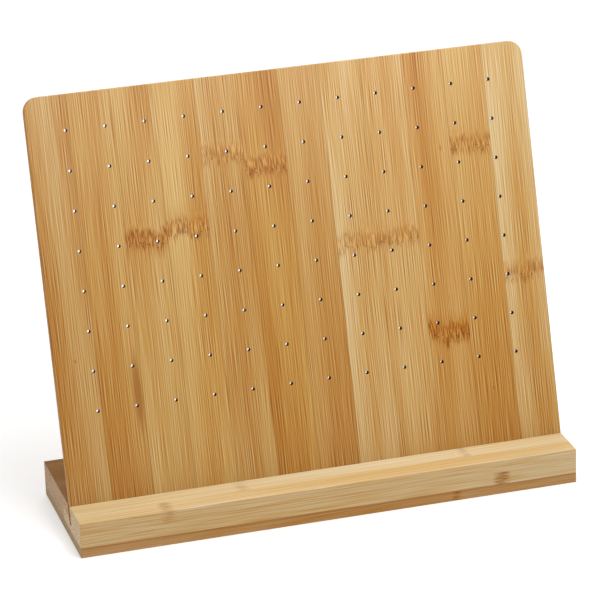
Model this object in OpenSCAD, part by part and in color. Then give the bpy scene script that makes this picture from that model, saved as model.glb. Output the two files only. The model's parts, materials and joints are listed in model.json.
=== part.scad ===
// Earring display stand: a thin perforated bamboo panel that leans back in a slotted bamboo base.
// The panel is edge-glued from upright strips, and the base is laminated from three plies of strips.
// Origin: centre of the base's underside. +X to the viewer's right, +Y to the back, +Z up.
// All lengths are in millimetres and all angles in degrees.

/* [Holes] */
// Distance between neighbouring holes, across and up the panel
hole_pitch = 25.4; // [25:0.1:26]
// Number of upright columns of holes, one to each panel strip
hole_columns = 12; // [8:1:12]
// Number of rows of holes
hole_rows = 8; // [4:1:10]
// Diameter of each hole, drilled square through the panel
hole_d = 2.2; // [1.5:0.1:3]

/* [Panel] */
// Thickness of the panel
panel_t = 5; // [4:0.1:6]
// Lean of the panel back from upright
panel_lean = 16.5; // [12:0.5:20]
// Side edge of the panel to the nearest column of holes
side_margin = 24.9; // [22:0.1:25.4]
// Top edge of the panel to the first row of holes
top_margin = 22.9; // [15:0.1:40]
// Last row of holes to the top of the base, along the panel
bottom_margin = 57.6; // [30:0.1:80]
// Radius of the panel's two top corners
corner_r = 9.5; // [6:0.5:15]
// Rounding of the panel's outer edges
panel_edge_r = 0.5; // [0.3:0.1:1]

/* [Base] */
// Stretch of the base that shows past each side edge of the panel
end_margin = 0.5; // [0:0.1:5]
// Depth of the base, front to back
base_d = 101.6; // [99:0.1:110]
// Height of the bottom ply
bottom_ply_h = 7.1; // [6:0.1:8]
// Height of the core ply
core_ply_h = 8.35; // [8:0.05:9]
// Height of the top ply
top_ply_h = 8.35; // [8:0.05:9]
// Width of the top ply's front strip
front_strip_w = 13.1; // [12:0.1:14]
// Width of the core ply's front strip
core_front_w = 19.1; // [18:0.1:20]
// Width of a full bamboo strip in the base
base_strip_w = 27.5; // [26:0.5:28]
// Rounding of the base's outer edges
base_edge_r = 1; // [0.4:0.1:1.5]

/* [Slot] */
// Front edge of the base to the front face of the panel, at the top of the base
slot_setback = 27.3; // [25.5:0.1:29]
// Depth of the slot, measured along the leaning panel
slot_run = 12; // [10:0.5:13]
// Gap between the panel and each slot wall
side_gap = 0.2; // [0.1:0.05:0.4]
// Gap between the panel's bottom edge and the slot floor
seat_gap = 0.1; // [0.05:0.05:0.3]

/* [Hidden] */
$fn = 48;
beyond = 1;
base_h = bottom_ply_h + core_ply_h + top_ply_h;
core_z = bottom_ply_h;
top_z = bottom_ply_h + core_ply_h;
panel_w = (hole_columns - 1) * hole_pitch + 2 * side_margin;
panel_h = slot_run - seat_gap + bottom_margin + (hole_rows - 1) * hole_pitch + top_margin;
panel_strip_w = panel_w / hole_columns;
first_row_up = panel_h - top_margin;
base_w = panel_w + 2 * end_margin;
mouth_y = slot_setback - base_d / 2;

// Seams of each ply, measured back from the front edge of the base
top_seams = [
    0,
    front_strip_w,
    front_strip_w + base_strip_w,
    front_strip_w + 2 * base_strip_w,
    front_strip_w + 3 * base_strip_w,
    base_d
];
core_seams = [0, core_front_w, core_front_w + base_strip_w, core_front_w + 2 * base_strip_w, base_d];
bottom_seams = [0, base_strip_w, 2 * base_strip_w, 3 * base_strip_w, base_d];

natural = [0.80, 0.60, 0.36];
honey = [0.76, 0.54, 0.28];
pale = [0.88, 0.76, 0.54];
dark = [0.62, 0.47, 0.28];

function panel_strip_name(k) = str("panel_strip_", k < 10 ? "0" : "", k);

// A rectangle from the origin with all four corners rounded
module round_rect(w, h, r) {
    translate([r, 0]) square([w - 2 * r, h]);
    translate([0, r]) square([w, h - 2 * r]);
    for (x = [r, w - r], y = [r, h - r]) {
        translate([x, y]) circle(r);
    }
}

// A rectangle from the origin with its two corners at the far end rounded
module round_ended(len, h, r) {
    square([len - r, h]);
    translate([0, r]) square([len, h - 2 * r]);
    for (y = [r, h - r]) {
        translate([len - r, y]) circle(r);
    }
}

// Places a shape drawn flat: x across, y up the panel from the slot's mouth, z out of the front face
module lean_back() {
    translate([0, mouth_y, base_h]) rotate([90 - panel_lean, 0, 0]) children();
}

// The part of the panel under its top corners, with rounded side edges
module panel_lower() {
    translate([-panel_w / 2, panel_h - corner_r, -panel_t])
        rotate([90, 0, 0])
            linear_extrude(panel_h - corner_r)
                round_rect(panel_w, panel_t, panel_edge_r);
}

// The part of the panel between its top corners, with a rounded top edge
module panel_upper() {
    translate([corner_r - panel_w / 2, panel_h - corner_r, -panel_t])
        rotate([90, 0, 90])
            linear_extrude(panel_w - 2 * corner_r)
                round_ended(corner_r, panel_t, panel_edge_r);
}

// One quarter-round top corner of the panel: side is -1 for the left and 1 for the right
module panel_corner(side) {
    translate([side * (panel_w / 2 - corner_r), panel_h - corner_r, -panel_t])
        rotate([0, 0, side < 0 ? 90 : 0])
            rotate_extrude(angle = 90)
                round_ended(corner_r, panel_t, panel_edge_r);
}

// The whole panel without its holes, its bottom edge on y = 0 and its front face on z = 0
module panel_blank() {
    panel_lower();
    panel_upper();
    panel_corner(-1);
    panel_corner(1);
}

// The stretch of the panel's width that one strip takes, open past the panel's outer edges
module strip_slab(k) {
    left = k == 1 ? -panel_w / 2 - beyond : -panel_w / 2 + (k - 1) * panel_strip_w;
    right = k == hole_columns ? panel_w / 2 + beyond : -panel_w / 2 + k * panel_strip_w;
    translate([left, -beyond, -panel_t - beyond])
        cube([right - left, panel_h + 2 * beyond, panel_t + 2 * beyond]);
}

// One column of holes
module hole_column(k) {
    x = (k - (hole_columns + 1) / 2) * hole_pitch;
    for (row = [0:hole_rows - 1]) {
        translate([x, first_row_up - row * hole_pitch, -panel_t - beyond])
            cylinder(h = panel_t + 2 * beyond, d = hole_d);
    }
}

// One upright bamboo strip of the panel, with its own column of holes
module panel_strip(k) {
    color(k % 2 == 0 ? natural : honey)
        lean_back()
            translate([0, seat_gap - slot_run, 0])
                difference() {
                    intersection() {
                        panel_blank();
                        strip_slab(k);
                    }
                    hole_column(k);
                }
}

// The slot, open at both ends of the base and above it
module slot() {
    lean_back()
        translate([-base_w / 2 - beyond, -slot_run, -panel_t - side_gap])
            cube([base_w + 2 * beyond, 2 * slot_run, panel_t + 2 * side_gap]);
}

// The base's outer shape, with its outer edges rounded
module base_block() {
    intersection() {
        translate([-base_w / 2, -base_d / 2, 0])
            rotate([90, 0, 90])
                linear_extrude(base_w)
                    round_rect(base_d, base_h, base_edge_r);
        translate([-base_w / 2, base_d / 2 + beyond, 0])
            rotate([90, 0, 0])
                linear_extrude(base_d + 2 * beyond)
                    round_rect(base_w, base_h, base_edge_r);
        translate([-base_w / 2, -base_d / 2, -beyond])
            linear_extrude(base_h + 2 * beyond)
                round_rect(base_w, base_d, base_edge_r);
    }
}

// One strip of the base, from seam y0 to seam y1 behind the front edge and from z0 up to z1.
// A side on the base's own surface is left open, so that the block's rounding shapes it.
module base_strip(y0, y1, z0, z1) {
    front = y0 == 0 ? -beyond : y0;
    back = y1 == base_d ? base_d + beyond : y1;
    low = z0 == 0 ? -beyond : z0;
    high = z1 == base_h ? base_h + beyond : z1;
    intersection() {
        base_block();
        translate([-base_w / 2 - beyond, front - base_d / 2, low])
            cube([base_w + 2 * beyond, back - front, high - low]);
    }
}

module top_strip(i) {
    color(pale) base_strip(top_seams[i], top_seams[i + 1], top_z, base_h);
}

module core_strip(i) {
    color(pale) base_strip(core_seams[i], core_seams[i + 1], core_z, top_z);
}

module bottom_strip(i) {
    color(dark) base_strip(bottom_seams[i], bottom_seams[i + 1], 0, core_z);
}

// The half space in front of the slot's middle plane, as a big block
module ahead_of_slot() {
    lean_back()
        translate([-base_w, -base_d, -panel_t / 2])
            cube([2 * base_w, 2 * base_d, base_d]);
}

// The slot parts the second top strip into two rails
module base_top_slot_front_rail() {
    color(pale)
        difference() {
            intersection() {
                base_strip(top_seams[1], top_seams[2], top_z, base_h);
                ahead_of_slot();
            }
            slot();
        }
}

module base_top_slot_back_rail() {
    color(pale)
        difference() {
            base_strip(top_seams[1], top_seams[2], top_z, base_h);
            ahead_of_slot();
            slot();
        }
}

// The core strip that holds the floor of the slot
module base_core_grooved_strip() {
    color(pale)
        difference() {
            base_strip(core_seams[1], core_seams[2], core_z, top_z);
            slot();
        }
}

for (k = [1:hole_columns]) {
    panel_strip(k);
}
top_strip(0);  // base_top_front_edge
base_top_slot_front_rail();
base_top_slot_back_rail();
top_strip(2);  // base_top_middle_strip
top_strip(3);  // base_top_rear_strip
top_strip(4);  // base_top_rear_edge
core_strip(0);  // base_core_front_strip
base_core_grooved_strip();
core_strip(2);  // base_core_middle_strip
core_strip(3);  // base_core_rear_strip
bottom_strip(0);  // base_bottom_front_strip
bottom_strip(1);  // base_bottom_second_strip
bottom_strip(2);  // base_bottom_third_strip
bottom_strip(3);  // base_bottom_rear_strip
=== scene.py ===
import json
import math

import bpy
from mathutils import Euler, Matrix, Vector


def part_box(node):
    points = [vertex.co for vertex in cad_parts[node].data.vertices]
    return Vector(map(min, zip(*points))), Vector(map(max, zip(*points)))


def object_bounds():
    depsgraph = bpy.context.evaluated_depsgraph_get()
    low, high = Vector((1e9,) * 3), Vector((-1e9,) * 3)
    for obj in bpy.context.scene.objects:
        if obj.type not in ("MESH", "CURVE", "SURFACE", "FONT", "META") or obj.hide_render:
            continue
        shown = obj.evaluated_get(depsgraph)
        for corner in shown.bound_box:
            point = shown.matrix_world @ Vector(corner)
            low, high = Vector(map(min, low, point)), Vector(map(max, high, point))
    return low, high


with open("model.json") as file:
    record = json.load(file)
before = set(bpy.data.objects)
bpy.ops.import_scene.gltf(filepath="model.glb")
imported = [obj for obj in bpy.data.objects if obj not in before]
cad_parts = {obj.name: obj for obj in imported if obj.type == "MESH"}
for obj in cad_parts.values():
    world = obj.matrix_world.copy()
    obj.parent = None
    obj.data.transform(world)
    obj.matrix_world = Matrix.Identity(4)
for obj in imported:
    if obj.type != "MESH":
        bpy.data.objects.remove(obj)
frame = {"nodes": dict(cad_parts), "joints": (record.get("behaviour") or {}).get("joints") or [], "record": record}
cad_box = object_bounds()

# ------------------------------------------------ sizes, read from the frame, in millimetres

MM = 0.001
LIFT_AXIS = Vector(frame["joints"][0]["axis"]).normalized()
FRONT_NORMAL = Vector((0.0, -LIFT_AXIS.z, LIFT_AXIS.y))
LEAN = math.atan2(LIFT_AXIS.y, LIFT_AXIS.z)
HOLES = {mount["name"]: mount for mount in frame["record"]["mounts"] if mount["kind"] == "bore"}
HOLE_SIZE = HOLES["post_hole_row_1_column_01"]["dims"]
HOLE_COLUMNS = len([name for name in HOLES if "_row_1_" in name])
HOLE_ROWS = len(HOLES) // HOLE_COLUMNS


def hole_centre(row, column):
    """The middle of a hole, counted from the panel's top left."""
    return Vector(HOLES[f"post_hole_row_{row}_column_{column:02d}"]["pos_m"]) / MM


def node_box(node):
    """A CAD node's lowest and highest corners."""
    low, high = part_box(node)
    return low / MM, high / MM


FIRST_COLUMN_X = hole_centre(1, 1).x
HOLE_PITCH = hole_centre(1, 2).x - FIRST_COLUMN_X
HOLE_RADIUS = HOLE_SIZE["r_mm"]
PANEL_THICKNESS = HOLE_SIZE["length_mm"]
BASE_TOP = node_box("base_top_middle_strip")[1].z

# Heights on the panel start where its front face comes out of the slot, and are measured up its slope.
LAST_ROW = hole_centre(HOLE_ROWS, 1) + FRONT_NORMAL * PANEL_THICKNESS / 2
LAST_ROW_HEIGHT = (LAST_ROW.z - BASE_TOP) / LIFT_AXIS.z
SLOT_MOUTH = LAST_ROW - LIFT_AXIS * LAST_ROW_HEIGHT
SLOT_MOUTH.x = 0.0


def srgb(red, green, blue):
    """A display colour, each part from 0 to 255, as the linear colour that shaders take."""
    parts = [part / 255 for part in (red, green, blue)]
    linear = [part / 12.92 if part <= 0.04045 else ((part + 0.055) / 1.055) ** 2.4 for part in parts]
    return (*linear, 1.0)


# ------------------------------------------------ a shorthand for shader nodes


class Graph:
    """A new material and its node tree. Most methods add a node and return its output socket."""

    def __init__(self, name):
        self.material = bpy.data.materials.new(name)
        self.material.use_nodes = True
        self.tree = self.material.node_tree
        self.shader = self.tree.nodes["Principled BSDF"]

    def add(self, kind, **settings):
        """The node itself, with those settings."""
        node = self.tree.nodes.new(kind)
        for setting, value in settings.items():
            setattr(node, setting, value)
        return node

    def feed(self, socket, value):
        """Links the socket to value if that is a socket too, and else sets it to value."""
        if isinstance(value, bpy.types.NodeSocket):
            self.tree.links.new(value, socket)
        else:
            socket.default_value = value

    def math(self, operation, *values):
        node = self.add("ShaderNodeMath", operation=operation)
        for socket, value in zip(node.inputs, values):
            self.feed(socket, value)
        return node.outputs[0]

    def dot(self, first, second):
        node = self.add("ShaderNodeVectorMath", operation="DOT_PRODUCT")
        self.feed(node.inputs[0], first)
        self.feed(node.inputs[1], second)
        return node.outputs["Value"]

    def placed(self, vector, location=(0, 0, 0), rotation=(0, 0, 0), scale=(1, 1, 1)):
        """The vector scaled, then turned, then moved."""
        node = self.add("ShaderNodeMapping")
        self.feed(node.inputs["Vector"], vector)
        node.inputs["Location"].default_value = location
        node.inputs["Rotation"].default_value = rotation
        node.inputs["Scale"].default_value = scale
        return node.outputs[0]

    def split(self, vector):
        node = self.add("ShaderNodeSeparateXYZ")
        self.feed(node.inputs[0], vector)
        return node.outputs[0], node.outputs[1], node.outputs[2]

    def joined(self, *values):
        node = self.add("ShaderNodeCombineXYZ")
        for socket, value in zip(node.inputs, values):
            self.feed(socket, value)
        return node.outputs[0]

    def shrunk(self, vector, size, seed):
        """The vector counted in steps of that size along each coordinate, and moved by the seed."""
        return self.placed(vector, location=(seed, 1.7 * seed, 0), scale=[1 / length for length in size])

    def noise(self, vector, size, seed, detail=1.0):
        """Smooth noise from 0 to 1 about 0.5, with blotches of that size along each coordinate."""
        node = self.add("ShaderNodeTexNoise")
        self.feed(node.inputs["Vector"], self.shrunk(vector, size, seed))
        node.inputs["Scale"].default_value = 1.0
        node.inputs["Detail"].default_value = detail
        return node.outputs[0]

    def cells(self, vector, size, seed):
        """The distance to the nearest of one random point for each cell of that size, in cells."""
        node = self.add("ShaderNodeTexVoronoi", voronoi_dimensions="2D")
        self.feed(node.inputs["Vector"], self.shrunk(vector, size, seed))
        node.inputs["Scale"].default_value = 1.0
        return node.outputs["Distance"]

    def fade(self, value, start, end, low=0.0, high=1.0):
        """Goes smoothly from low to high as value goes from start to end, and is level outside them."""
        node = self.add("ShaderNodeMapRange", interpolation_type="SMOOTHSTEP")
        for socket, number in zip(node.inputs, (value, start, end, low, high)):
            self.feed(socket, number)
        return node.outputs[0]

    def ramp(self, value, stops):
        """The colour for value, from a list of (place, colour) of three or more stops."""
        node = self.add("ShaderNodeValToRGB")
        self.feed(node.inputs[0], value)
        elements = node.color_ramp.elements
        while len(elements) < len(stops):
            elements.new(0.5)
        for element, (place, colour) in zip(elements, stops):
            element.position = place
            element.color = colour
        return node.outputs[0]

    def mix(self, share, first, second, blend="MIX"):
        """The first colour, with that share of the second one blended in."""
        node = self.add("ShaderNodeMix", data_type="RGBA", blend_type=blend)
        share_socket, first_socket, second_socket = node.inputs[0], node.inputs[6], node.inputs[7]
        self.feed(share_socket, share)
        self.feed(first_socket, first)
        self.feed(second_socket, second)
        return node.outputs[2]

    def bump(self, height, strength, distance):
        """A normal tipped by the height, which is 0 to 1 over that distance in metres."""
        node = self.add("ShaderNodeBump")
        self.feed(node.inputs["Height"], height)
        node.inputs["Strength"].default_value = strength
        node.inputs["Distance"].default_value = distance
        return node.outputs[0]


# ------------------------------------------------ bamboo

# Tones of the fibres, from the darkest to the palest
FIBRE_COLOURS = [
    (0.00, srgb(151, 88, 18)),
    (0.30, srgb(182, 121, 42)),
    (0.50, srgb(194, 145, 78)),
    (0.70, srgb(203, 162, 101)),
    (1.00, srgb(214, 182, 130)),
]

# The tone of fibres without contrast, and how strongly the bands, lines and threads change it.
# BAND_MIDDLE keeps the bands from changing the tone's average much.
PLAIN_TONE = 0.53
BAND_MIDDLE = 0.41
BAND_STRENGTH = 0.86
LINE_STRENGTH = 0.85
THREAD_STRENGTH = 0.13

# A knot is a bamboo node on a strip's face, and a scar is one on its sawn side.
KNOT_BROWN = srgb(176, 107, 16)
KNOT_DARK = srgb(142, 77, 0)
KNOT_PALE = srgb(226, 178, 98)
KNOT_DOT = srgb(70, 34, 8)
SCAR_BROWN = srgb(168, 112, 50)
SCAR_DARK = srgb(130, 82, 34)
SEAM_BROWN = srgb(116, 70, 22)
# A painted shade for the walls of the holes, darker than the bamboo
HOLE_PAINTED_SHADE = srgb(80, 26, 0)
# Painted light: a tint that makes the sides of the panel strips lighter and more orange
SIDE_PAINTED_LIGHT = (1.6, 1.55, 1.0)

# Tones of the cut ends of the fibres, from the darkest to the palest
END_GRAIN = [
    (0.30, srgb(134, 108, 82)),
    (0.50, srgb(180, 154, 124)),
    (0.70, srgb(206, 184, 156)),
]


def panel_space(g):
    """Millimetres across the panel from its middle, up it from the slot, and out of its front face."""
    rotation = Euler((LEAN - math.pi / 2, 0.0, 0.0))
    origin = SLOT_MOUTH.copy()
    origin.rotate(rotation)
    position = g.add("ShaderNodeTexCoord").outputs["Object"]
    return g.placed(position, location=-origin, rotation=rotation, scale=[1 / MM] * 3)


def base_space(g):
    """Millimetres across the base from its middle to the front, along it to the right, and up."""
    position = g.add("ShaderNodeTexCoord").outputs["Object"]
    return g.placed(position, rotation=(0.0, 0.0, math.pi / 2), scale=[1 / MM] * 3)


def bent(g, space, seed):
    """The same space with its fibres, which run along the second coordinate, made a little wavy."""
    reach = 1.6
    across, along, depth = g.split(space)
    sway = g.noise(space, size=(20, 150, 20), seed=seed)
    shift = g.math("MULTIPLY_ADD", sway, reach, -reach / 2)
    return g.joined(g.math("ADD", across, shift), along, depth)


def fibre_tone(g, space, seed, contrast):
    """How pale the fibres are, from 0 to 1: broad bands, fine lines, and thin dark threads.

    The fine lines are a noise less itself a little to the side, so that they leave the bands alone.
    """
    line_size = (0.5, 35, 0.5)
    line_spacing = 0.7
    thread_width = 0.09
    bands = g.noise(space, size=(14, 250, 14), seed=seed, detail=0.5)
    lines = g.noise(space, size=line_size, seed=seed + 7.7, detail=0.0)
    moved = g.placed(space, location=(line_spacing, 0, 0))
    beside = g.noise(moved, size=line_size, seed=seed + 7.7, detail=0.0)
    weave = g.noise(space, size=(0.9, 200, 0.9), seed=seed + 9.2, detail=0.0)
    threads = g.fade(g.math("ABSOLUTE", g.math("SUBTRACT", weave, 0.5)), thread_width, 0.0)
    start = PLAIN_TONE - BAND_MIDDLE * contrast
    tone = g.math("MULTIPLY_ADD", bands, BAND_STRENGTH * contrast, start)
    tone = g.math("MULTIPLY_ADD", g.math("SUBTRACT", lines, beside), LINE_STRENGTH * contrast, tone)
    return g.math("MULTIPLY_ADD", threads, -THREAD_STRENGTH * contrast, tone)


def add_knot(g, colour, space, place, strength, reach, seed):
    """Paints a bamboo node across a strip, at that height up it, and returns the new colour.

    reach is how far its brown shade runs down and up the fibres. Short dark and pale strokes
    cross the node, and small dots stand in a row just below its middle.
    """
    rise = 18.0
    stroke_length = 16.0
    spot_cell = (3.2, 3.2, 1.0)
    across, along, depth = g.split(space)
    wander = g.noise(space, size=(9, 400, 9), seed=seed + 1.3)
    centre = g.math("MULTIPLY_ADD", wander, rise, place - rise / 2)
    offset = g.math("SUBTRACT", along, centre)
    strokes = g.noise(space, size=(0.75, 8.0, 0.75), seed=seed + 5.9)
    shift = g.math("MULTIPLY_ADD", strokes, stroke_length, -stroke_length / 2)
    ragged = g.math("ADD", offset, shift)

    below = g.fade(ragged, -reach[0], 0.0)
    above = g.fade(ragged, reach[1], 0.0)
    shade = g.math("MULTIPLY", below, above)
    colour = g.mix(g.math("MULTIPLY", shade, 0.7 * strength), colour, KNOT_BROWN)

    brush = g.math("MULTIPLY", g.fade(ragged, -8.0, -3.0), g.fade(ragged, 9.0, 3.0))
    dark = g.math("MULTIPLY", brush, g.fade(strokes, 0.49, 0.56))
    pale = g.math("MULTIPLY", brush, g.fade(strokes, 0.45, 0.38))
    colour = g.mix(g.math("MULTIPLY", dark, 1.1 * strength), colour, KNOT_DARK)
    colour = g.mix(g.math("MULTIPLY", pale, 0.6 - 0.2 * strength), colour, KNOT_PALE)

    row = g.joined(g.math("ADD", across, depth), offset, 0.0)
    spots = g.fade(g.cells(row, size=spot_cell, seed=seed), 0.19, 0.08)
    near_row = g.math("MULTIPLY", g.fade(offset, -6.0, -4.5), g.fade(offset, -1.0, -2.5))
    spots = g.math("MULTIPLY", spots, near_row)
    return g.mix(g.math("MULTIPLY", spots, min(1.0, 1.2 * strength)), colour, KNOT_DOT)


def add_scar(g, colour, space, place, half_length, strength, seed):
    """Paints a bamboo node as a sawn side shows it: a soft brown patch of short dark fibres.

    Its place is along the strip, and the new colour is returned.
    """
    raggedness = 4.0
    _, along, _ = g.split(space)
    offset = g.math("ABSOLUTE", g.math("SUBTRACT", along, place))
    fibres = g.noise(space, size=(0.5, 7.0, 0.5), seed=seed, detail=0.0)
    inset = g.math("SUBTRACT", offset, raggedness / 2)
    near = g.fade(g.math("MULTIPLY_ADD", fibres, raggedness, inset), half_length, 0.0)
    dark = g.math("MULTIPLY", near, g.fade(fibres, 0.56, 0.42))
    colour = g.mix(g.math("MULTIPLY", near, 0.8 * strength), colour, SCAR_BROWN)
    return g.mix(g.math("MULTIPLY", dark, strength), colour, SCAR_DARK)


def hypotenuse(g, dx, dy):
    """The distance that is dx one way and dy the other way."""
    return g.math("SQRT", g.math("ADD", g.math("MULTIPLY", dx, dx), g.math("MULTIPLY", dy, dy)))


def add_mark(g, colour, space, place, half_size, strength):
    """Paints a small soft dark mark at that place across and along the fibres."""
    across, along, _ = g.split(space)
    dx = g.math("MULTIPLY_ADD", across, 1 / half_size[0], -place[0] / half_size[0])
    dy = g.math("MULTIPLY_ADD", along, 1 / half_size[1], -place[1] / half_size[1])
    return g.mix(g.fade(hypotenuse(g, dx, dy), 1.0, 0.3, 0.0, strength), colour, KNOT_DARK)


def to_nearest(g, value, first, count):
    """How far value is from the nearest of that many marks, one hole pitch apart."""
    steps = g.math("ROUND", g.math("MULTIPLY_ADD", value, 1 / HOLE_PITCH, -first / HOLE_PITCH))
    steps = g.math("MINIMUM", g.math("MAXIMUM", steps, 0.0), count - 1.0)
    return g.math("SUBTRACT", g.math("SUBTRACT", value, first), g.math("MULTIPLY", steps, HOLE_PITCH))


def in_hole(g, space):
    """1 on the walls of the holes and 0 elsewhere."""
    slack = 0.03
    across, along, _ = g.split(space)
    dx = to_nearest(g, across, FIRST_COLUMN_X, HOLE_COLUMNS)
    dy = to_nearest(g, along, LAST_ROW_HEIGHT, HOLE_ROWS)
    return g.math("LESS_THAN", hypotenuse(g, dx, dy), HOLE_RADIUS + slack)


def near_seam(g, across, low, high, width):
    """1 at the strip's two glued sides, falling to 0 at that width in from them."""
    inset = g.math("MINIMUM", g.math("SUBTRACT", across, low), g.math("SUBTRACT", high, across))
    return g.fade(inset, width, 0.0)


def tinted(g, colour, tint):
    """The colour multiplied by the tint."""
    return g.mix(1.0, colour, (*tint, 1.0), blend="MULTIPLY")


def facing(g, direction):
    """How squarely the surface faces that direction: 1 straight at it, and -1 away from it."""
    return g.dot(g.add("ShaderNodeTexCoord").outputs["Normal"], direction)


def square_to(g, axis):
    """1 on surfaces that face either way along the axis, and 0 on those well turned away from it."""
    return g.fade(g.math("ABSOLUTE", facing(g, axis)), 0.6, 0.95)


def add_end_grain(g, colour, space, fibre_axis, tint):
    """Greys and speckles the surfaces that cut across the fibres, and returns the new colour."""
    speckle = g.noise(space, size=(0.8, 40, 0.8), seed=5.5, detail=2.0)
    end_grain = tinted(g, g.ramp(speckle, END_GRAIN), tint)
    return g.mix(square_to(g, fibre_axis), colour, end_grain)


def finish_bamboo(g, colour, roughness, gloss, felt):
    """A clear lacquer. If felt is a socket, it is the tone of the fibres, which stand up a little."""
    g.feed(g.shader.inputs["Base Color"], colour)
    g.feed(g.shader.inputs["Roughness"], roughness)
    if felt is not None:
        g.feed(g.shader.inputs["Normal"], g.bump(felt, strength=0.25, distance=0.1 * MM))
    g.shader.inputs["Specular IOR Level"].default_value = gloss
    return g.material


def panel_bamboo(number, tint, knot, marks):
    """The material of one upright strip of the panel. Its own seed gives it its own fibres."""
    seam_width = 0.45
    edge_roughness = 0.35
    g = Graph(f"panel_bamboo_{number:02d}")
    seed = 11.3 * number
    space = panel_space(g)
    grain = bent(g, space, seed)
    tone = fibre_tone(g, grain, seed, contrast=1.0)
    colour = tinted(g, g.ramp(tone, FIBRE_COLOURS), tint)
    if knot:
        height, strength, reach = knot
        colour = add_knot(g, colour, grain, height, strength, reach, seed)
    for mark in marks:
        colour = add_mark(g, colour, space, *mark)
    across, _, _ = g.split(space)
    low, high = node_box(f"panel_strip_{number:02d}")
    seam = near_seam(g, across, low.x, high.x, seam_width)
    colour = g.mix(g.math("MULTIPLY", seam, 0.4), colour, SEAM_BROWN)
    # Painted light: the strips' sides are made lighter and more orange than their faces.
    at_side = square_to(g, (1.0, 0.0, 0.0))
    colour = g.mix(at_side, colour, tinted(g, colour, SIDE_PAINTED_LIGHT))
    colour = add_end_grain(g, colour, space, LIFT_AXIS, PALE_END)
    hole = in_hole(g, space)
    # Painted shade: the walls of the holes are coloured dark, as if they lay in shade.
    colour = g.mix(hole, colour, HOLE_PAINTED_SHADE)
    satin = g.fade(tone, 0.2, 0.8, 0.30, 0.22)
    edge = g.fade(g.math("ABSOLUTE", facing(g, FRONT_NORMAL)), 0.95, 0.7)
    roughness = g.math("MAXIMUM", g.math("MULTIPLY_ADD", edge, edge_roughness, satin), hole)
    return finish_bamboo(g, colour, roughness, gloss=0.5, felt=tone)


def base_bamboo(name, tint, front_shade_tint, end_tint, scars, marks, seed):
    """The material of one strip of the base. Its front faces have a tint of their own, which on the front edge
    strip is a painted shade, darker than its top.
    """
    g = Graph(f"{name}_bamboo")
    space = base_space(g)
    grain = bent(g, space, seed)
    tone = fibre_tone(g, grain, seed, contrast=0.45)
    fibres = g.ramp(tone, FIBRE_COLOURS)
    # Faces that look to the front take the front tint; on the front edge strip it is a painted shade.
    at_front = g.fade(facing(g, (0.0, -1.0, 0.0)), 0.5, 0.9)
    colour = g.mix(at_front, tinted(g, fibres, tint), tinted(g, fibres, front_shade_tint))
    for count, (place, half_length, strength) in enumerate(scars):
        colour = add_scar(g, colour, grain, place, half_length, strength, seed=seed + 2.3 * count)
    across, along, up = g.split(space)
    for mark in marks:
        colour = add_mark(g, colour, g.joined(up, along, across), *mark)
    colour = add_end_grain(g, colour, space, (1.0, 0.0, 0.0), end_tint)
    felt = tone if name in SEEN_FROM_THE_FRONT else None
    roughness = g.fade(tone, 0.2, 0.8, 0.62, 0.5)
    return finish_bamboo(g, colour, roughness, gloss=0.12, felt=felt)


# Each panel strip's own tint, its knot and its marks.
# A knot is its height up the panel, its strength and its reach down and up.
# A mark is its place and half its size, across and up the panel, and its strength.
PANEL_STRIPS = {
    1: ((0.93, 0.94, 0.94), None, [((-150.6, 90.6), (1.2, 1.5), 0.5)]),
    2: ((0.92, 0.89, 0.74), None, [((-113.0, 66), (4.2, 34), 0.6)]),
    3: ((0.98, 1.04, 1.04), (163, 0.95, (16, 8)), []),
    4: ((0.99, 1.04, 0.99), (166, 0.65, (8, 16)), []),
    5: ((0.96, 1.02, 1.06), (209, 0.45, (10, 10)), []),
    6: ((0.90, 0.84, 0.59), (199, 0.7, (12, 8)), []),
    7: ((0.89, 0.84, 0.70), None, []),
    8: ((1.05, 1.20, 1.50), (145, 0.4, (10, 10)), []),
    9: ((1.01, 1.08, 1.18), (144, 0.5, (8, 12)), [((63.5, 87), (0.5, 24), 0.5)]),
    10: ((0.96, 0.94, 0.84), (77, 1.3, (12, 14)), [((103, 195), (0.8, 3), 0.5)]),
    11: ((0.98, 1.00, 0.92), (196, 0.6, (10, 12)), [((122, 36), (1.1, 1.3), 0.5)]),
    12: ((1.05, 1.20, 1.50), (110, 0.45, (10, 10)), []),
}

# Tints of the base's strips: on top, in front and across their ends. Painted shade darkens the deck behind the
# panel, the front of the front edge and the ends of the back strips.
CREAM = (1.41, 2.03, 4.00)
GOLDEN = (1.37, 1.84, 3.20)
# A painted shade for the front face of the front edge strip, darker than its top
FRONT_PAINTED_SHADE = (0.98, 1.22, 1.98)
SAND = (0.99, 1.28, 2.16)
# A painted shade for the deck behind the panel, which lies in the panel's shadow
DECK_PAINTED_SHADE = (0.74, 0.70, 0.78)
PALE = (1.05, 1.12, 1.25)
BROWN = (0.77, 0.79, 0.98)
PALE_END = (1.44, 1.49, 1.38)
# A painted shade: the cut ends of the back strips darker than those of the front strips
END_PAINTED_SHADE = (1.15, 1.02, 0.87)
BROWN_END = (0.93, 0.84, 0.66)

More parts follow.
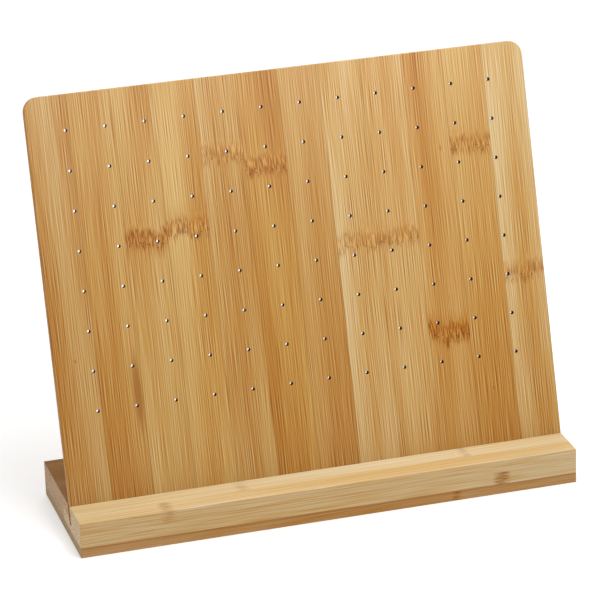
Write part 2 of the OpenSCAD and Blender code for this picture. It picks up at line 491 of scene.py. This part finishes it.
# Each base strip's tints, its scars and its marks.
# A scar is its place along the base, half its length and its strength.
# A mark is its place and half its size, up and along the base, and its strength.
BASE_STRIPS = {
    "base_top_front_edge": (GOLDEN, FRONT_PAINTED_SHADE, PALE_END, [(-108, 6, 0.3)], []),
    "base_top_slot_front_rail": (CREAM, CREAM, PALE_END, [(-55, 6, 0.2), (95, 4, 0.2)], []),
    "base_top_slot_back_rail": (DECK_PAINTED_SHADE, DECK_PAINTED_SHADE, END_PAINTED_SHADE, [], []),
    "base_top_middle_strip": (DECK_PAINTED_SHADE, DECK_PAINTED_SHADE, END_PAINTED_SHADE, [(70, 6, 0.6)], []),
    "base_top_rear_strip": (DECK_PAINTED_SHADE, DECK_PAINTED_SHADE, END_PAINTED_SHADE, [(-20, 6, 0.6)], []),
    "base_top_rear_edge": (DECK_PAINTED_SHADE, DECK_PAINTED_SHADE, END_PAINTED_SHADE, [], []),
    "base_core_front_strip": (SAND, SAND, PALE_END, [(114, 7, 0.75)], []),
    "base_core_grooved_strip": (PALE, PALE, PALE_END, [], []),
    "base_core_middle_strip": (PALE, PALE, END_PAINTED_SHADE, [], []),
    "base_core_rear_strip": (PALE, PALE, END_PAINTED_SHADE, [(-60, 6, 0.6)], []),
    # The bottom front strip's mark is a thin dark line just under its seam with the core: a painted shade.
    "base_bottom_front_strip": (BROWN, BROWN, BROWN_END, [(83, 4, 0.8)], [((6.3, 0), (1.1, 400), 0.45)]),
    "base_bottom_second_strip": (BROWN, BROWN, BROWN_END, [(-90, 6, 0.6)], []),
    "base_bottom_third_strip": (BROWN, BROWN, BROWN_END, [(30, 6, 0.6)], []),
    "base_bottom_rear_strip": (BROWN, BROWN, BROWN_END, [(-40, 6, 0.6)], []),
}
SEEN_FROM_THE_FRONT = [
    "base_top_front_edge",
    "base_top_slot_front_rail",
    "base_core_front_strip",
    "base_bottom_front_strip",
]


def wear(node, material):
    """Gives a CAD node its material."""
    slots = frame["nodes"][node].data.materials
    slots.clear()
    slots.append(material)


for number, look in PANEL_STRIPS.items():
    wear(f"panel_strip_{number:02d}", panel_bamboo(number, *look))
for count, (node, look) in enumerate(BASE_STRIPS.items()):
    wear(node, base_bamboo(node, *look, seed=200 + 9.1 * count))


# ------------------------------------------------ the studio


def make_floor():
    """A plain pale floor that glows a little."""
    half = 6.0
    grey = 0.7
    glow = 0.48
    corners = [(-half, -half, 0), (half, -half, 0), (half, half, 0), (-half, half, 0)]
    mesh = bpy.data.meshes.new("floor")
    mesh.from_pydata(corners, [], [(0, 1, 2, 3)])
    floor = bpy.data.objects.new("floor", mesh)
    bpy.context.scene.collection.objects.link(floor)
    g = Graph("floor_paper")
    g.shader.inputs["Base Color"].default_value = (grey, grey, grey, 1.0)
    g.shader.inputs["Roughness"].default_value = 0.9
    g.shader.inputs["Specular IOR Level"].default_value = 0.0
    g.shader.inputs["Emission Color"].default_value = (1.0, 1.0, 1.0, 1.0)
    g.shader.inputs["Emission Strength"].default_value = glow
    mesh.materials.append(g.material)


def make_world(strength):
    """A plain white world of that strength."""
    world = bpy.data.worlds.new("studio")
    world.use_nodes = True
    background = world.node_tree.nodes["Background"]
    background.inputs["Color"].default_value = (1.0, 1.0, 1.0, 1.0)
    background.inputs["Strength"].default_value = strength
    bpy.context.scene.world = world


def make_softbox(name, place, aim, size, watts):
    """A square soft light at place that points at aim."""
    lamp = bpy.data.lights.new(name, "AREA")
    lamp.shape = "SQUARE"
    lamp.size = size
    lamp.energy = watts
    light = bpy.data.objects.new(name, lamp)
    light.location = place
    light.rotation_euler = (Vector(aim) - Vector(place)).to_track_quat("-Z", "Y").to_euler()
    bpy.context.scene.collection.objects.link(light)


def make_camera(azimuth, elevation, roll, distance, aim, lens):
    """A camera that looks at aim. Azimuth 0 is straight in front, and a negative one is to the left."""
    back = Vector((
        math.sin(azimuth) * math.cos(elevation),
        -math.cos(azimuth) * math.cos(elevation),
        math.sin(elevation),
    ))
    turn = (-back).to_track_quat("-Z", "Y").to_matrix() @ Matrix.Rotation(roll, 3, "Z")
    data = bpy.data.cameras.new("camera")
    data.lens = lens
    data.sensor_width = 36.0
    camera = bpy.data.objects.new("camera", data)
    camera.matrix_world = Matrix.Translation(aim + back * distance) @ turn.to_4x4()
    bpy.context.scene.collection.objects.link(camera)
    bpy.context.scene.camera = camera


make_floor()
middle = (Vector(cad_box[0]) + Vector(cad_box[1])) / 2
# The camera aims a little to the left of the middle, in front of it and below it.
camera_aim = middle + Vector((-4.5, -6.3, -1.4)) * MM
make_world(strength=0.15)
make_softbox("key", (0.28, -1.0, 0.80), middle, size=0.6, watts=3.4)
make_softbox("near_top", (0.10, -0.28, 0.85), middle, size=0.5, watts=2.9)
make_softbox("high_top", (0.10, -0.35, 1.30), middle, size=0.8, watts=1.4)
make_softbox("overhead", (0.05, 0.05, 1.20), (0.05, 0.05, 0.0), size=0.8, watts=3.4)
make_softbox("left_fill", (-1.2, -0.9, 0.5), middle, size=0.8, watts=2.2)
make_softbox("background", (0.1, 1.1, 1.2), (0.1, 1.1, 0.0), size=1.0, watts=9.5)
make_camera(
    azimuth=math.radians(-15.85),
    elevation=math.radians(21.77),
    roll=math.radians(-1.81),
    distance=2.18,
    aim=camera_aim,
    lens=206.1,
)
bpy.context.scene.view_settings.view_transform = "Standard"
